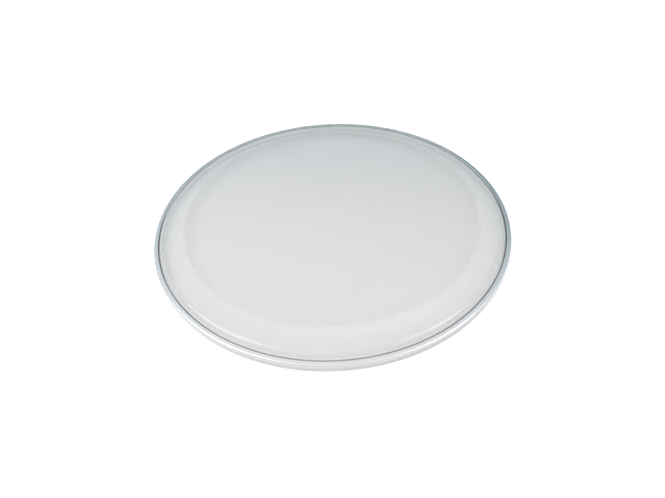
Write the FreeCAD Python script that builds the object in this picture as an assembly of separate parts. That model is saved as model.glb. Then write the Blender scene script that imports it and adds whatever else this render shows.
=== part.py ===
"""Drum head for a 14 inch shell, in millimetres.

Z is the drum's axis and points to the playing side. The origin is the centre of the hoop's underside.
Every piece is a section in the plane of the radius and the height, turned about that axis.
"""
import FreeCAD, Part
import math
import os
from typing import NamedTuple

# Shell that the head goes on, and the room round it
SHELL_RADIUS = 177.8
SHELL_CLEARANCE = 0.55

# Hoop: a strip of sheet folded to a channel, with its outer edge turned in over the film
HOOP_SHEET = 0.8
HOOP_HEIGHT = 7.7
CHANNEL_WIDTH = 4.55
FOOT_RADIUS = 0.7
SHOULDER_RADIUS = 1.8
INNER_WALL_HEIGHT = 6.7
THROAT = 0.85

# Film: flat playing face, bend over the shell's edge, sloping collar, leg, and hem round the lock ring
FILM_THICKNESS = 0.25
FILM_HEIGHT = 11.8
BEND_RADIUS = 4.5
COLLAR_SLOPE = 55.0
ENTRY_RADIUS = 1.5
ENTRY_RISE = 0.3
HEM_LEG = 3.0

# Lock ring: a flat strip that makes the hem too wide for the throat
LOCK_WIDTH = 1.8
LOCK_HEIGHT = 2.6

# Resin bank between the hem and the outer wall
RESIN_LEVEL = 5.0

# Ring bonded under the film, as far out as the film stays flat
RING_REACH = 25.4
RING_THICKNESS = 0.19
RING_EDGE_ROOM = 0.5

# Room between the film and what it goes round, and between the resin and what it beds
FIT = 0.1
RESIN_ROOM = 0.2

# A bend is drawn with chords no wider than this angle: turned, each is a cone, and its facets stay few
CHORD_ANGLE = 22.5

ORIGIN = FreeCAD.Vector(0, 0, 0)
AXIS = FreeCAD.Vector(0, 0, 1)
FULL_TURN = 360.0
SHARP_JOIN = 2

# Places that several pieces share
hoop_inner_radius = SHELL_RADIUS + SHELL_CLEARANCE
channel_inner_radius = hoop_inner_radius + HOOP_SHEET
channel_outer_radius = channel_inner_radius + CHANNEL_WIDTH
hoop_outer_radius = channel_outer_radius + HOOP_SHEET
leg_radius = channel_inner_radius + FIT + FILM_THICKNESS
lock_inner_radius = leg_radius + FIT
lock_outer_radius = lock_inner_radius + LOCK_WIDTH
hem_radius = lock_outer_radius + FIT
hem_floor = HOOP_SHEET + FIT + FILM_THICKNESS
entry_height = INNER_WALL_HEIGHT + ENTRY_RISE
collar_width = (FILM_HEIGHT - entry_height) / math.tan(math.radians(COLLAR_SLOPE))
bend_setback = BEND_RADIUS * math.tan(math.radians(COLLAR_SLOPE / 2))
flat_radius = leg_radius - collar_width - bend_setback


class Corner(NamedTuple):
    """A corner of a path in the section, and the radius that it is rounded with."""

    radius: float
    height: float
    rounding: float = 0.0

    def place(self):
        """The corner as a point in the plane of X and Z."""
        return FreeCAD.Vector(self.radius, 0, self.height)


def bend(before, corner, after, rounding):
    """Points on the arc that touches both sides of a corner, evenly spaced."""
    arriving = (corner - before).normalize()
    leaving = (after - corner).normalize()
    turn = arriving.getAngle(leaving)
    chords = math.ceil(math.degrees(turn) / CHORD_ANGLE)
    inward = (leaving - arriving).normalize()
    along = (leaving + arriving).normalize()
    centre = corner + inward * (rounding / math.cos(turn / 2))
    angles = [turn * (step / chords - 0.5) for step in range(chords + 1)]
    return [centre + (along * math.sin(angle) - inward * math.cos(angle)) * rounding for angle in angles]


def path(corners):
    """A wire through the corners, going round those that have a rounding."""
    places = [corner.place() for corner in corners]
    points = places[:1]
    for before, place, after, corner in zip(places, places[1:], places[2:], corners[1:]):
        points += bend(before, place, after, corner.rounding) if corner.rounding else [place]
    return Part.makePolygon(points + places[-1:])


def folded_strip(corners, thickness):
    """Section of a folded strip, on the left of its path where the thickness is positive."""
    return path(corners).makeOffset2D(thickness, SHARP_JOIN, True, True)


def flat_strip(inner, outer, bottom, top):
    """Section of a flat strip."""
    corners = [Corner(inner, bottom), Corner(outer, bottom), Corner(outer, top), Corner(inner, top)]
    return Part.Face(path(corners + corners[:1]))


def turned(section):
    """The solid that a section makes when it is turned about the drum's axis."""
    return section.revolve(ORIGIN, AXIS, FULL_TURN)


def hoop_channel():
    """Channel along its sheet's outside: inner wall, foot, outer wall, and the lip turned in."""
    corners = [
        Corner(hoop_inner_radius, INNER_WALL_HEIGHT),
        Corner(hoop_inner_radius, 0, FOOT_RADIUS),
        Corner(hoop_outer_radius, 0, FOOT_RADIUS),
        Corner(hoop_outer_radius, HOOP_HEIGHT, SHOULDER_RADIUS),
        Corner(channel_inner_radius + THROAT, HOOP_HEIGHT),
    ]
    return turned(folded_strip(corners, HOOP_SHEET))


def head_film():
    """Film along its upper side: playing face, bend, collar, leg, and the hem round the lock ring."""
    corners = [
        Corner(0, FILM_HEIGHT),
        Corner(leg_radius - collar_width, FILM_HEIGHT, BEND_RADIUS),
        Corner(leg_radius, entry_height, ENTRY_RADIUS),
        Corner(leg_radius, hem_floor),
        Corner(hem_radius, hem_floor),
        Corner(hem_radius, hem_floor + HEM_LEG),
    ]
    return turned(folded_strip(corners, -FILM_THICKNESS))


def damping_ring():
    """Thin flat ring that lies against the film's underside."""
    inner = SHELL_RADIUS - RING_REACH
    top = FILM_HEIGHT - FILM_THICKNESS
    return turned(flat_strip(inner, flat_radius - RING_EDGE_ROOM, top - RING_THICKNESS, top))


def lock_ring():
    """Flat strip standing in the hem."""
    foot = hem_floor + FIT
    return turned(flat_strip(lock_inner_radius, lock_outer_radius, foot, foot + LOCK_HEIGHT))


def resin_bead():
    """Resin that keeps the hem against the inner wall."""
    inner = hem_radius + FILM_THICKNESS + RESIN_ROOM
    return turned(flat_strip(inner, channel_outer_radius - RESIN_ROOM, HOOP_SHEET + RESIN_ROOM, RESIN_LEVEL))


NODES = {
    "hoop_channel": hoop_channel,
    "head_film": head_film,
    "damping_ring": damping_ring,
    "lock_ring": lock_ring,
    "resin_bead": resin_bead,
}


def main():
    """Build every piece and write it to its own file."""
    os.makedirs("parts", exist_ok=True)
    for name, build in NODES.items():
        shape = build()
        shape.exportStep(f"parts/{name}.step")
        box = shape.optimalBoundingBox()
        print(
            f"{name}: solids {len(shape.Solids)}, valid {shape.isValid()}, volume {shape.Volume:.1f} mm3,"
            f" z {box.ZMin:.2f} to {box.ZMax:.2f}, outer radius {box.XMax:.2f}"
        )


main()
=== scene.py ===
"""Clear drum head on a white floor: a formed film, a damping ring under it, and a folded aluminium hoop.

Metres throughout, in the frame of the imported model: Z is the drum's axis, and the floor is at Z = 0.
"""
import logging
import math
from dataclasses import dataclass
from enum import Enum
from typing import Any, Dict, List, NamedTuple, Sequence, Tuple

import bpy
import numpy as np
from mathutils import Matrix, Vector


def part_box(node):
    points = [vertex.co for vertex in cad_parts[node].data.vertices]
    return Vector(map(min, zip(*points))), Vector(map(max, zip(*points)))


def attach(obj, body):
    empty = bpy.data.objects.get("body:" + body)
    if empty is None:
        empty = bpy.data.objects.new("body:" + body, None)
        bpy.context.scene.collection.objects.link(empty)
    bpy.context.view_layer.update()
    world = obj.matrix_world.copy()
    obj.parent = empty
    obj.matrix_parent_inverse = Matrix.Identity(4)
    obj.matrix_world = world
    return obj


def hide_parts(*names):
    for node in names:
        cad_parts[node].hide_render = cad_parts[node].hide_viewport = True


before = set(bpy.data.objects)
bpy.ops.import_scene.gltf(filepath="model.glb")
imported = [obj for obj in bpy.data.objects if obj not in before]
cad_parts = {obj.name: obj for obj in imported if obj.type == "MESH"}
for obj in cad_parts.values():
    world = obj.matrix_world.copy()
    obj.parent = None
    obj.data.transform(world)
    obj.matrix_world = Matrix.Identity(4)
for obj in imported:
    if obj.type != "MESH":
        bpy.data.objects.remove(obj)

LOG = logging.getLogger("drum_head")
MM = 0.001
BODY = "root"
UV_NAME = "round_and_along"

# A point nearer to the axis than this lies on it
AXIS_REACH = 1e-9
# Faces that meet at a wider angle than this show an edge
SHARP_ANGLE = math.radians(32)
# Most of a noise lies between these values
NOISE_SPAN = (0.3, 0.7)
# Places of the colour sockets on the Mix node
MIX_SHARE, MIX_FIRST, MIX_SECOND, MIX_RESULT = 0, 6, 7, 2

Colour = Tuple[float, float, float, float]
Span = Tuple[float, float]
# Size along each axis; a UV map has no third axis, so there the third size does nothing
Grain = Tuple[float, float, float]
Socket = bpy.types.NodeSocket


class Side(Enum):
    """The side of its path that a sheet lies on, seen along the path."""

    LEFT = 1.0
    RIGHT = -1.0


class Corner(NamedTuple):
    """A corner of a path in the section, in radius and height, and the radius that it is rounded with."""

    radius: float
    height: float
    rounding: float = 0.0


class HazeBand(NamedTuple):
    """Haze that is added from none at its start radius to its full share at its end radius and beyond."""

    start: float
    end: float
    share: float


def unit(vectors: np.ndarray) -> np.ndarray:
    """Each row divided by its own length."""
    return vectors / np.linalg.norm(vectors, axis=-1, keepdims=True)


def left_of(directions: np.ndarray) -> np.ndarray:
    """Each direction of the section turned a quarter turn to the left."""
    return np.stack([-directions[..., 1], directions[..., 0]], axis=-1)


def beside(corners: Sequence[Corner], offset: float) -> List[Corner]:
    """Moves a whole path to its left.

    A corner goes out along its mitre, by the offset divided by the cosine of half its turn. Its rounding
    shrinks by the offset where the path turns left and grows by it where the path turns right.

    Args:
        corners: Corners of the path.
        offset: Distance to the left, negative for the right.

    Returns:
        The corners of the moved path.
    """
    places = np.array([corner[:2] for corner in corners])
    headings = unit(np.diff(places, axis=0))
    arriving = np.vstack([headings[:1], headings])
    leaving = np.vstack([headings, headings[-1:]])
    mitre = left_of(unit(arriving + leaving))
    stretch = np.sum(mitre * left_of(arriving), axis=1)
    moved = places + mitre * (offset / stretch)[:, None]
    turn = np.sum(left_of(arriving) * leaving, axis=1)
    rounded = np.array([corner.rounding for corner in corners])
    rounding = np.where(rounded > 0, np.maximum(rounded - np.sign(turn) * offset, 0), 0)
    return [Corner(*place, radius) for place, radius in zip(moved, rounding)]


def rounded_path(corners: Sequence[Corner], arc_step: float) -> np.ndarray:
    """Draws a path through its corners, going round those that have a rounding.

    The arc at a corner touches both its sides. Its centre lies on the corner's bisector, at the rounding
    divided by the cosine of half the turn.

    Args:
        corners: Corners of the path.
        arc_step: Widest angle between two points of an arc, in radians.

    Returns:
        Points of the path, one row of radius and height each.
    """
    places = [np.array(corner[:2]) for corner in corners]
    pieces = [places[0][None]]
    for before, place, after, corner in zip(places, places[1:], places[2:], corners[1:]):
        if corner.rounding <= 0:
            pieces.append(place[None])
            continue
        arriving, leaving = unit(place - before), unit(after - place)
        turn = math.acos(float(np.clip(arriving @ leaving, -1, 1)))
        inward, along = unit(leaving - arriving), unit(leaving + arriving)
        centre = place + inward * corner.rounding / math.cos(turn / 2)
        angles = np.linspace(-turn / 2, turn / 2, math.ceil(turn / arc_step) + 1)[:, None]
        pieces.append(centre + (along * np.sin(angles) - inward * np.cos(angles)) * corner.rounding)
    return np.vstack(pieces + [places[-1][None]])


def spaced(path: np.ndarray, longest: float) -> np.ndarray:
    """Divides the long straight stretches of a path evenly.

    Args:
        path: Points of the path.
        longest: Longest stretch that stays whole.

    Returns:
        The path with the points added.
    """
    stretches = np.diff(path, axis=0)
    counts = np.ceil(np.linalg.norm(stretches, axis=1) / longest).astype(int).clip(1)
    first = np.repeat(np.cumsum(counts) - counts, counts)
    share = (np.arange(counts.sum()) - first) / np.repeat(counts, counts)
    points = np.repeat(path[:-1], counts, axis=0) + np.repeat(stretches, counts, axis=0) * share[:, None]
    return np.vstack([points, path[-1:]])


def sheet_outline(
    corners: Sequence[Corner], thickness: float, side: Side, edge: float, arc_step: float
) -> np.ndarray:
    """Outline of a folded sheet: along one face of it, round its edge, and back along the other face.

    A sheet that starts on the axis is open there. Any other starts and ends in the middle of its edge.

    Args:
        corners: Corners of the face that the path follows.
        thickness: Thickness of the sheet.
        side: Side of the path that the sheet lies on.
        edge: Rounding of the sheet's edges.
        arc_step: Widest angle between two points of an arc, in radians.

    Returns:
        Points of the outline, running anticlockwise.
    """
    far = beside(corners, side.value * thickness)
    near = [*corners[:-1], corners[-1]._replace(rounding=edge)]
    back = [far[-1]._replace(rounding=edge), *far[-2::-1]]
    if corners[0].radius > 0:
        middle = Corner(*np.add(corners[0][:2], far[0][:2]) / 2)
        near = [middle, corners[0]._replace(rounding=edge), *near[1:]]
        back = [*back[:-1], far[0]._replace(rounding=edge), middle]
    outline = rounded_path([*near, *back], arc_step)
    outline = outline[:-1] if corners[0].radius > 0 else outline
    return outline if side is Side.LEFT else outline[::-1]


def grid_corners(grid: np.ndarray) -> np.ndarray:
    """The values at the four corners of each cell of a grid, anticlockwise from the lowest."""
    return np.stack([grid[:-1, :-1], grid[:-1, 1:], grid[1:, 1:], grid[1:, :-1]], axis=-1)


def linked(name: str, data: Any) -> bpy.types.Object:
    """Makes an object of a mesh, lamp or camera and links it to the scene.

    Args:
        name: Name of the object.
        data: What the object shows.

    Returns:
        The object, at the origin.
    """
    thing = bpy.data.objects.new(name, data)
    bpy.context.scene.collection.objects.link(thing)
    return thing


def turned(name: str, outline: np.ndarray, segments: int, start: float = 0.0) -> bpy.types.Object:
    """Turns an outline about the drum's axis into a closed mesh.

    A point of radius r and height h goes to (r cos t, r sin t, h) for each angle t. An outline that starts
    and ends on the axis gets one vertex at each end and is closed there with triangles; any other outline
    closes on itself. The UV map holds metres round the axis and metres along the outline.

    Args:
        name: Name of the piece.
        outline: Points of the outline, running anticlockwise.
        segments: Number of steps round the axis.
        start: Angle of the UV map's seam, in radians.

    Returns:
        The piece's object, at the origin.
    """
    on_axis = bool(abs(outline[0, 0]) < AXIS_REACH)
    rows = outline if on_axis else np.vstack([outline, outline[:1]])
    steps = np.linspace(0, 2 * math.pi, segments + 1)
    along = np.concatenate([[0], np.cumsum(np.linalg.norm(np.diff(rows, axis=0), axis=1))])
    u, v = np.meshgrid(steps * outline[:, 0].max(), along)

    number = np.arange(len(outline) * segments).reshape(len(outline), segments)
    number = np.take(number, range(len(rows)), axis=0, mode="wrap")
    number = np.take(number, range(segments + 1), axis=1, mode="wrap")
    if on_axis:
        number[[0, -1]] = number[[0, -1], :1]
    used, number = np.unique(number, return_inverse=True)
    angles = start + steps[:-1]
    level = outline[:, :1] * np.stack([np.cos(angles), np.sin(angles)])[:, None]
    heights = np.broadcast_to(outline[:, 1:], level.shape[1:])
    points = np.stack([*level, heights], axis=-1).reshape(-1, 3)[used]

    corners = grid_corners(number.reshape(u.shape))
    uv = np.stack([grid_corners(u), grid_corners(v)], axis=-1)
    faces, uv_parts = [corners.reshape(-1, 4)], [uv]
    if on_axis:
        # A cell at either end has one side of no length, so it keeps three corners
        first, last = [0, 2, 3], [0, 1, 2]
        faces = [corners[1:-1].reshape(-1, 4), corners[0][:, first], corners[-1][:, last]]
        uv_parts = [uv[1:-1], uv[0][:, first], uv[-1][:, last]]

    mesh = bpy.data.meshes.new(name)
    mesh.from_pydata(points.tolist(), [], [face for kind in faces for face in kind.tolist()])
    layer = mesh.uv_layers.new(name=UV_NAME)
    layer.data.foreach_set("uv", np.concatenate([part.ravel() for part in uv_parts]).astype(np.float32))
    mesh.shade_smooth()
    mesh.set_sharp_from_angle(angle=SHARP_ANGLE)
    mesh.update()
    return linked(name, mesh)


def add_piece(piece: bpy.types.Object, finish: bpy.types.Material, slot: str, *nodes: str) -> None:
    """Dresses a piece, lets it ride on the head's body, and says what it stands for.

    Args:
        piece: The piece with its final mesh.
        finish: Its material.
        slot: Material slot of the record; not used.
        *nodes: CAD nodes that it stands for.
    """
    piece.data.materials.append(finish)
    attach(piece, BODY)
    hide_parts(*nodes)
    LOG.info("%s: %d faces, for %s", piece.name, len(piece.data.polygons), ", ".join(nodes))


class Shader:
    """The nodes of a material or of the world, with short ways to add and join them."""

    def __init__(self, owner: Any) -> None:
        """Starts with no nodes.

        Args:
            owner: The material or world that the nodes are for.
        """
        owner.use_nodes = True
        self.owner = owner
        self.tree = owner.node_tree
        self.tree.nodes.clear()
        self.output = "OutputWorld" if isinstance(owner, bpy.types.World) else "OutputMaterial"

    @classmethod
    def material(cls, name: str) -> "Shader":
        """Starts a new material."""
        return cls(bpy.data.materials.new(name))

    def add(self, kind: str, inputs: Dict[Any, Any], **settings: Any) -> bpy.types.Node:
        """Adds a node.

        Args:
            kind: Type of the node, without its ShaderNode prefix.
            inputs: A value or another node's output for each input, by name or number.
            **settings: Values of the node's own settings.

        Returns:
            The new node.
        """
        node = self.tree.nodes.new("ShaderNode" + kind)
        for setting, value in settings.items():
            setattr(node, setting, value)
        for name, value in inputs.items():
            if isinstance(value, Socket):
                self.tree.links.new(value, node.inputs[name])
            else:
                node.inputs[name].default_value = value
        return node

    def ramp(self, value: Socket, span: Span, limits: Span) -> Socket:
        """Maps a value that runs through the span to one through the limits, held at both ends."""
        inputs = zip(("Value", "From Min", "From Max", "To Min", "To Max"), (value, *span, *limits))
        return self.add("MapRange", dict(inputs), clamp=True).outputs["Result"]

    def fade(self, value: Socket, span: Span) -> Socket:
        """Goes smoothly from 0 where the value is at the span's start to 1 where it is at its end."""
        inputs = {"Value": value, "From Min": span[0], "From Max": span[1]}
        return self.add("MapRange", inputs, interpolation_type="SMOOTHSTEP").outputs["Result"]

    def blend(self, share: Socket, first: Any, second: Any) -> Socket:
        """Mixes two colours; a share of 0 gives the first."""
        inputs = {MIX_SHARE: share, MIX_FIRST: first, MIX_SECOND: second}
        return self.add("Mix", inputs, data_type="RGBA").outputs[MIX_RESULT]

    def combine(self, operation: str, first: Any, second: Any) -> Socket:
        """Joins two numbers by an operation of the Math node."""
        return self.add("Math", {0: first, 1: second}, operation=operation).outputs[0]

    def noise(self, place: Socket, grain: Grain, detail: float) -> Socket:
        """Adds noise with a grain of its own size along each axis.

        Args:
            place: Coordinates that the noise is read at.
            grain: Size of the grain.
            detail: Number of finer layers in it.

        Returns:
            The noise's value.
        """
        scale = tuple(1 / size for size in grain)
        drawn = self.add("VectorMath", {0: place, 1: scale}, operation="MULTIPLY").outputs[0]
        return self.add("TexNoise", {"Vector": drawn, "Scale": 1.0, "Detail": detail}).outputs[0]

    def radius(self, place: Socket) -> Socket:
        """Distance of a place from the Z axis."""
        level = self.add("VectorMath", {0: place, 1: (1.0, 1.0, 0.0)}, operation="MULTIPLY").outputs[0]
        return self.add("VectorMath", {0: level}, operation="LENGTH").outputs["Value"]

    def zone(self, place: Socket, radius_span: Span, height_span: Span) -> Socket:
        """Multiplies a fade over the radius of a place by a fade over its height.

        Args:
            place: The piece's own coordinates.
            radius_span: Radii where the zone starts and is full.
            height_span: Heights where the zone starts and is full.

        Returns:
            A share that is 1 in the zone and 0 outside it.
        """
        height = self.add("SeparateXYZ", {0: place}).outputs["Z"]
        across = self.fade(self.radius(place), radius_span)
        return self.combine("MULTIPLY", across, self.fade(height, height_span))

    def close(self, surface: Socket) -> Any:
        """Joins the last shader to the output and returns the material or world."""
        self.add(self.output, {"Surface": surface})
        return self.owner


@dataclass(frozen=True)
class RolledAluminium:
    """Sheet with fine lines, bright inside, painted shade at the groove, rub marks and painted shade low
    outside.

    A pair of radii or heights gives where a change of colour starts and where it is complete.
    """

    colour: Colour = (0.69, 0.70, 0.71, 1.0)
    inside: Colour = (0.88, 0.88, 0.88, 1.0)
    inside_radius: Span = (179.2 * MM, 179.9 * MM)
    # Painted shade: near-black on the top of the inner wall, standing in for the shadow in the groove
    groove_shade: Colour = (0.05, 0.05, 0.05, 1.0)
    groove_shade_radius: Span = (179.9 * MM, 179.4 * MM)
    groove_shade_height: Span = (5.9 * MM, 6.4 * MM)
    # Rub marks and painted shade: the outer wall below the shoulder is darkened for the shadowed floor it
    # mirrors
    rubbed_and_shaded: Colour = (0.53, 0.54, 0.55, 1.0)
    rub_and_shade_radius: Span = (183.8 * MM, 184.3 * MM)
    rub_and_shade_height: Span = (7.0 * MM, 5.6 * MM)
    rub_grain: Grain = (0.8 * MM, 6.0 * MM, 1.0)
    rub_detail: float = 2.0
    rub_noise: Span = (0.35, 0.65)
    rub_and_shade_share: Span = (0.8, 1.0)
    roughness: Span = (0.24, 0.36)
    line_grain: Grain = (60.0 * MM, 0.25 * MM, 1.0)
    line_detail: float = 3.0
    line_depth: float = 0.004 * MM
    line_strength: float = 0.6

    def material(self) -> bpy.types.Material:
        """Noise drawn out along the strip drives the roughness and a shallow bump.

        Painted shade darkens the top of the inner wall, for the shadow down in the groove.
        Upright rub marks, where a counterhoop slides, and painted shade darken the outer wall below its
        shoulder.

        Returns:
            The hoop's material.
        """
        shader = Shader.material("rolled_aluminium")
        uv = shader.add("UVMap", {}, uv_map=UV_NAME).outputs["UV"]
        lines = shader.noise(uv, self.line_grain, self.line_detail)
        relief = {"Height": lines, "Strength": self.line_strength, "Distance": self.line_depth}
        place = shader.add("TexCoord", {}).outputs["Object"]
        outward = shader.fade(shader.radius(place), self.inside_radius)
        bare = shader.blend(outward, self.inside, self.colour)
        # Painted shade on the top of the inner wall, for the groove's shadow
        bare = shader.blend(shader.zone(place, self.groove_shade_radius, self.groove_shade_height), bare, self.groove_shade)
        marks = shader.noise(uv, self.rub_grain, self.rub_detail)
        # Rub marks and painted shade, darkening the outer wall below its shoulder
        outer_wall = shader.zone(place, self.rub_and_shade_radius, self.rub_and_shade_height)
        rub_and_shade = shader.combine("MULTIPLY", outer_wall, shader.ramp(marks, self.rub_noise, self.rub_and_shade_share))
        inputs = {
            "Base Color": shader.blend(rub_and_shade, bare, self.rubbed_and_shaded),
            "Metallic": 1.0,
            "Roughness": shader.ramp(lines, NOISE_SPAN, self.roughness),
            "Normal": shader.add("Bump", relief).outputs[0],
        }
        return shader.close(shader.add("BsdfPrincipled", inputs).outputs[0])


@dataclass(frozen=True)
class ClearFilm:
    """Glossy polyester film: clear, with a faint milky haze that varies a little over the sheet.

    The haze throws light back, apart from the onward share, which goes through and spreads.
    """

    name: str
    tint: Colour
    haze_colour: Colour
    haze: Span
    bands: Tuple[HazeBand, ...]
    onward: float = 0.0
    roughness: float = 0.06
    ior: float = 1.70
    cloud: Grain = (60.0 * MM, 60.0 * MM, 60.0 * MM)
    cloud_detail: float = 2.0

    def material(self) -> bpy.types.Material:
        """A mirror share by Fresnel, alike on both faces, lies over a mix of see-through film and haze.

        Returns:
            The film's material.
        """
        shader = Shader.material(self.name)
        place = shader.add("TexCoord", {}).outputs["Object"]
        clouds = shader.noise(place, self.cloud, self.cloud_detail)
        haze = shader.ramp(clouds, NOISE_SPAN, self.haze)
        radius = shader.radius(place)
        for band in self.bands:
            added = shader.ramp(radius, (band.start, band.end), (0.0, band.share))
            haze = shader.combine("ADD", haze, added)
        clear = shader.add("BsdfTransparent", {"Color": self.tint}).outputs[0]
        back = shader.add("BsdfDiffuse", {"Color": self.haze_colour}).outputs[0]
        onward = shader.add("BsdfTranslucent", {"Color": self.haze_colour}).outputs[0]
        milk = shader.add("MixShader", {0: self.onward, 1: back, 2: onward}).outputs[0]
        body = shader.add("MixShader", {0: haze, 1: clear, 2: milk}).outputs[0]
        mirror = shader.add("BsdfGlossy", {"Roughness": self.roughness}).outputs[0]
        inside = shader.add("NewGeometry", {}).outputs["Backfacing"]
        index = shader.ramp(inside, (0.0, 1.0), (self.ior, 1 / self.ior))
        fresnel = shader.add("Fresnel", {"IOR": index}).outputs[0]
        return shader.close(shader.add("MixShader", {0: fresnel, 1: body, 2: mirror}).outputs[0])


@dataclass(frozen=True)
class GrainedSolid:
    """A plain solid finish whose colour and roughness vary with a fine grain."""

    name: str
    dark: Colour
    light: Colour
    metallic: float
    roughness: Span
    grain: Grain
    detail: float = 4.0

    def material(self) -> bpy.types.Material:
        """Noise on the piece's own place mixes the two colours and drives the roughness.

        Returns:
            The solid's material.
        """
        shader = Shader.material(self.name)
        place = shader.add("TexCoord", {}).outputs["Object"]
        noise = shader.noise(place, self.grain, self.detail)
        inputs = {
            "Base Color": shader.blend(noise, self.dark, self.light),
            "Metallic": self.metallic,
            "Roughness": shader.ramp(noise, NOISE_SPAN, self.roughness),
        }
        return shader.close(shader.add("BsdfPrincipled", inputs).outputs[0])


@dataclass
class FleshHoop:
    """Hoop folded from a strip: inner wall, foot, outer wall, and the lip turned in over the film."""

    sheet: float = 0.8 * MM
    inner_radius: float = 178.35 * MM
    inner_wall: float = 6.7 * MM
    throat_radius: float = 180.0 * MM
    edge_rounding: float = 0.3 * MM
    foot_rounding: float = 0.7 * MM
    shoulder_rounding: float = 1.8 * MM
    arc_step: float = math.radians(7)
    spacing: float = 1.5 * MM
    segments: int = 512
    seam: float = math.radians(90)
    finish: RolledAluminium = RolledAluminium()

    def corners(self) -> List[Corner]:
        """Corners of the outside of the sheet, with the outer size taken from the frame.

        Returns:
            The corners from the top of the inner wall to the end of the lip.
        """
        outer, _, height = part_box("hoop_channel")[1]
        return [
            Corner(self.inner_radius, self.inner_wall),
            Corner(self.inner_radius, 0.0, self.foot_rounding),
            Corner(outer, 0.0, self.foot_rounding),
            Corner(outer, height, self.shoulder_rounding),
            Corner(self.throat_radius, height),
        ]

    def build(self) -> None:
        """Turns the sheet's outline about the axis and gives it its finish."""
        corners = self.corners()
        outline = sheet_outline(corners, self.sheet, Side.LEFT, self.edge_rounding, self.arc_step)
        hoop = turned("flesh_hoop", spaced(outline, self.spacing), self.segments, self.seam)
        add_piece(hoop, self.finish.material(), "hoop_aluminium", "hoop_channel")


@dataclass
class FormedFilm:
    """Film with its flat playing face, the bend over the shell's edge, the collar, the leg and the hem."""

    thickness: float = 0.25 * MM
    edge_rounding: float = 0.05 * MM
    bend_rounding: float = 4.5 * MM
    collar_slope: float = math.radians(55)
    entry_rounding: float = 1.5 * MM
    entry_height: float = 7.0 * MM
    leg_radius: float = 179.5 * MM
    hem_radius: float = 181.5 * MM
    hem_floor: float = 1.15 * MM
    hem_leg: float = 3.0 * MM
    crease: float = 0.12 * MM
    arc_step: float = math.radians(7)
    spacing: float = 12.0 * MM
    segments: int = 384
    finish: ClearFilm = ClearFilm(
        "clear_film",
        tint=(0.995, 0.995, 0.995, 1.0),
        haze_colour=(0.92, 0.92, 0.92, 1.0),
        haze=(0.025, 0.045),
        bands=(HazeBand(173.0 * MM, 174.4 * MM, 0.17), HazeBand(177.8 * MM, 178.8 * MM, 0.3)),
        onward=0.2,
    )

    def corners(self) -> List[Corner]:
        """Corners of the film's upper side, with its height taken from the frame.

        Returns:
            The corners from the middle of the playing face to the end of the hem.
        """
        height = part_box("head_film")[1][2]
        collar = (height - self.entry_height) / math.tan(self.collar_slope)
        return [
            Corner(0.0, height),
            Corner(self.leg_radius - collar, height, self.bend_rounding),
            Corner(self.leg_radius, self.entry_height, self.entry_rounding),
            Corner(self.leg_radius, self.hem_floor, self.crease),
            Corner(self.hem_radius, self.hem_floor, self.crease),
            Corner(self.hem_radius, self.hem_floor + self.hem_leg),
        ]

    def build(self) -> None:
        """Turns the film's outline about the axis and gives it its finish."""
        corners = self.corners()
        outline = sheet_outline(corners, self.thickness, Side.RIGHT, self.edge_rounding, self.arc_step)
        film = turned("formed_film", spaced(outline, self.spacing), self.segments)
        add_piece(film, self.finish.material(), "clear_film", "head_film")


@dataclass
class DampingRing:
    """Thin ring bonded under the film, a hair clear of it where the bond is."""

    bond: float = 0.02 * MM
    width: float = 20.90 * MM
    edge_rounding: float = 0.06 * MM
    arc_step: float = math.radians(22)
    spacing: float = 6.0 * MM
    segments: int = 384
    finish: ClearFilm = ClearFilm(
        "ring_film",
        tint=(1.0, 1.0, 1.0, 1.0),
        haze_colour=(0.98, 0.98, 0.98, 1.0),
        haze=(0.04, 0.06),
        bands=(HazeBand(152.4 * MM, 160.0 * MM, 0.09),),
        ior=1.10,
    )

    def corners(self) -> List[Corner]:
        """Corners of the ring's section, with its outer size and its underside taken from the frame.

        Returns:
            The corners round the section, from the middle of the underside and back to it.
        """
        low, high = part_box("damping_ring")
        outer, top = high[0], high[2] - self.bond
        inner = outer - self.width
        middle = Corner((inner + outer) / 2, low[2])
        return [
            middle,
            Corner(outer, low[2], self.edge_rounding),
            Corner(outer, top, self.edge_rounding),
            Corner(inner, top, self.edge_rounding),
            Corner(inner, low[2], self.edge_rounding),
            middle,
        ]

    def build(self) -> None:
        """Turns the ring's outline, with its cut edges eased, and gives it its finish."""
        outline = rounded_path(self.corners(), self.arc_step)[:-1]
        ring = turned("damping_ring_film", spaced(outline, self.spacing), self.segments)
        add_piece(ring, self.finish.material(), "ring_film", "damping_ring")


@dataclass
class HemLock:
    """What the channel hides, as the frame has it: the flat ring in the hem and the resin beside it."""

    steel: GrainedSolid = GrainedSolid(
        "lock_steel",
        dark=(0.46, 0.47, 0.49, 1.0),
        light=(0.60, 0.61, 0.63, 1.0),
        metallic=1.0,
        roughness=(0.28, 0.45),
        grain=(4.0 * MM, 4.0 * MM, 0.2 * MM),
    )
    resin: GrainedSolid = GrainedSolid(
        "bedding_resin",
        dark=(0.62, 0.56, 0.42, 1.0),
        light=(0.76, 0.70, 0.56, 1.0),
        metallic=0.0,
        roughness=(0.22, 0.4),
        grain=(3.0 * MM, 3.0 * MM, 3.0 * MM),
    )

    def build(self) -> None:
        """Gives the two hidden CAD nodes their finishes."""
        for node, finish in (("lock_ring", self.steel), ("resin_bead", self.resin)):
            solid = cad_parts[node]
            solid.data.materials.clear()
            solid.data.materials.append(finish.material())
            LOG.info("%s: CAD node, finished as %s", node, finish.name)


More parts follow.
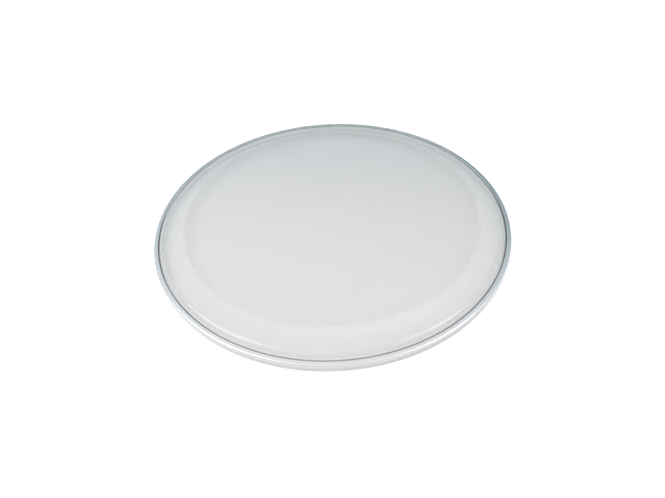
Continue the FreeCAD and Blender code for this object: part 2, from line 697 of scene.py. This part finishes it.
@dataclass(frozen=True)
class WhiteFloor:
    """Matt pale floor: white where it is bare, its own colour through the film, with the shadow kept.

    A ray that came through fewer faces of film than the bare depth met none.
    """

    half_width: float = 5.0
    colour: Colour = (0.668, 0.656, 0.658, 1.0)
    lift: float = 0.40
    bare_depth: float = 0.5

    def build(self) -> None:
        """Lays a square at Z = 0 whose material adds a little light of its own for rays that show it."""
        mesh = bpy.data.meshes.new("floor")
        sides = np.array([[-1, -1, 0], [1, -1, 0], [1, 1, 0], [-1, 1, 0]]) * self.half_width
        mesh.from_pydata(sides.tolist(), [], [[0, 1, 2, 3]])
        mesh.materials.append(self.material())
        linked("floor", mesh)

    def material(self) -> bpy.types.Material:
        """Diffuse, plus an even lift for camera, glossy and transmission rays that met no film.

        Returns:
            The floor's material.
        """
        shader = Shader.material("white_floor")
        rays = shader.add("LightPath", {}).outputs
        seen = shader.combine("MAXIMUM", rays["Is Camera Ray"], rays["Is Glossy Ray"])
        seen = shader.combine("MAXIMUM", seen, rays["Is Transmission Ray"])
        bare = shader.combine("LESS_THAN", rays["Transparent Depth"], self.bare_depth)
        lift = shader.combine("MULTIPLY", shader.combine("MULTIPLY", seen, bare), self.lift)
        glow = shader.add("Emission", {"Strength": lift}).outputs[0]
        matt = shader.add("BsdfDiffuse", {"Color": self.colour}).outputs[0]
        return shader.close(shader.add("AddShader", {0: matt, 1: glow}).outputs[0])


@dataclass(frozen=True)
class Softbox:
    """A square soft lamp that faces the head's centre, placed by its angles in degrees."""

    name: str
    azimuth: float
    elevation: float
    distance: float
    width: float
    power: float
    mirrored: bool = True

    def build(self) -> None:
        """Places the lamp; azimuth 0 is on the camera's side, and grows to the right of the picture.

        A lamp that isn't mirrored lights the head and casts shadows, and leaves no glint.
        """
        light = bpy.data.lights.new(self.name, "AREA")
        light.shape = "SQUARE"
        light.size = self.width
        light.energy = self.power
        lamp = linked(self.name, light)
        lamp.visible_glossy = self.mirrored
        turn, rise = math.radians(self.azimuth), math.radians(self.elevation)
        across, near = math.sin(turn) * math.cos(rise), math.cos(turn) * math.cos(rise)
        direction = Vector((across, -near, math.sin(rise)))
        facing = (-direction).to_track_quat("-Z", "Y").to_matrix().to_4x4()
        lamp.matrix_world = Matrix.Translation(direction * self.distance) @ facing


@dataclass
class Studio:
    """Floor, soft lamps, the even light of the room, and the camera at the photograph's angle.

    Each span gives where a colour of the room starts and where it is full: a depth towards the dark end,
    from -1 to 1, or for the zenith a height.
    """

    floor: WhiteFloor = WhiteFloor()
    lamps: Tuple[Softbox, ...] = (
        Softbox("left_softbox", -84.0, 54.0, distance=1.5, width=0.8, power=3.7),
        Softbox("right_softbox", 74.0, 54.0, distance=1.5, width=0.6, power=2.4),
        Softbox("left_key", -80.0, 44.0, distance=1.5, width=0.3, power=5.0, mirrored=False),
    )
    front: Colour = (0.91, 0.90, 0.91, 1.0)
    sides: Colour = (1.02, 1.01, 1.01, 1.0)
    sides_span: Span = (-0.95, -0.55)
    flanks: Colour = (0.71, 0.84, 0.90, 1.0)
    flanks_span: Span = (-0.1, 0.4)
    back: Colour = (0.00, 0.18, 0.22, 1.0)
    back_span: Span = (0.40, 0.85)
    zenith: Colour = (1.10, 1.09, 1.09, 1.0)
    zenith_span: Span = (0.4, 0.95)
    dark_end: Tuple[float, float, float] = (0.25, 0.97, 0.0)
    distance: float = 401.1 * MM
    elevation: float = math.radians(40.40)
    tilt: float = math.radians(46.35)
    turn: float = math.radians(0.06)
    roll: float = math.radians(-3.25)
    lens: float = 19.60
    sensor: float = 36.0
    nearest: float = 10.0 * MM
    film_faces: int = 24

    def room(self) -> None:
        """Light above and at the sides, plain behind the camera, blue-grey flanks, dark at the back."""
        shader = Shader(bpy.data.worlds.new("room"))
        direction = shader.add("TexCoord", {}).outputs["Generated"]
        height = shader.add("SeparateXYZ", {0: direction}).outputs["Z"]
        towards = {0: direction, 1: self.dark_end}
        depth = shader.add("VectorMath", towards, operation="DOT_PRODUCT").outputs["Value"]
        walls = shader.blend(shader.fade(depth, self.sides_span), self.front, self.sides)
        walls = shader.blend(shader.fade(depth, self.flanks_span), walls, self.flanks)
        walls = shader.blend(shader.fade(depth, self.back_span), walls, self.back)
        colour = shader.blend(shader.fade(height, self.zenith_span), walls, self.zenith)
        bpy.context.scene.world = shader.close(shader.add("Background", {"Color": colour}).outputs[0])

    def camera(self) -> None:
        """Camera on the near side, aimed a little steeper than at the centre, and rolled slightly."""
        data = bpy.data.cameras.new("camera")
        data.lens = self.lens
        data.sensor_width = self.sensor
        data.clip_start = self.nearest
        camera = linked("camera", data)
        place = Vector((0.0, -math.cos(self.elevation), math.sin(self.elevation))) * self.distance
        heading = Matrix.Rotation(self.turn, 4, "Z") @ Matrix.Rotation(math.pi / 2 - self.tilt, 4, "X")
        aim = heading @ Matrix.Rotation(self.roll, 4, "Z")
        camera.matrix_world = Matrix.Translation(place) @ aim
        bpy.context.scene.camera = camera

    def build(self) -> None:
        """Sets the whole stage."""
        bpy.context.scene.view_settings.view_transform = "Standard"
        bpy.context.scene.cycles.transparent_max_bounces = self.film_faces
        self.floor.build()
        for lamp in self.lamps:
            lamp.build()
        self.room()
        self.camera()


def main() -> None:
    """Builds the head's pieces from the hoop inwards, then the stage."""
    logging.basicConfig(level=logging.INFO, format="%(name)s: %(message)s")
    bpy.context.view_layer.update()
    for assembly in (FleshHoop(), FormedFilm(), DampingRing(), HemLock(), Studio()):
        assembly.build()


if __name__ == "__main__":
    main()
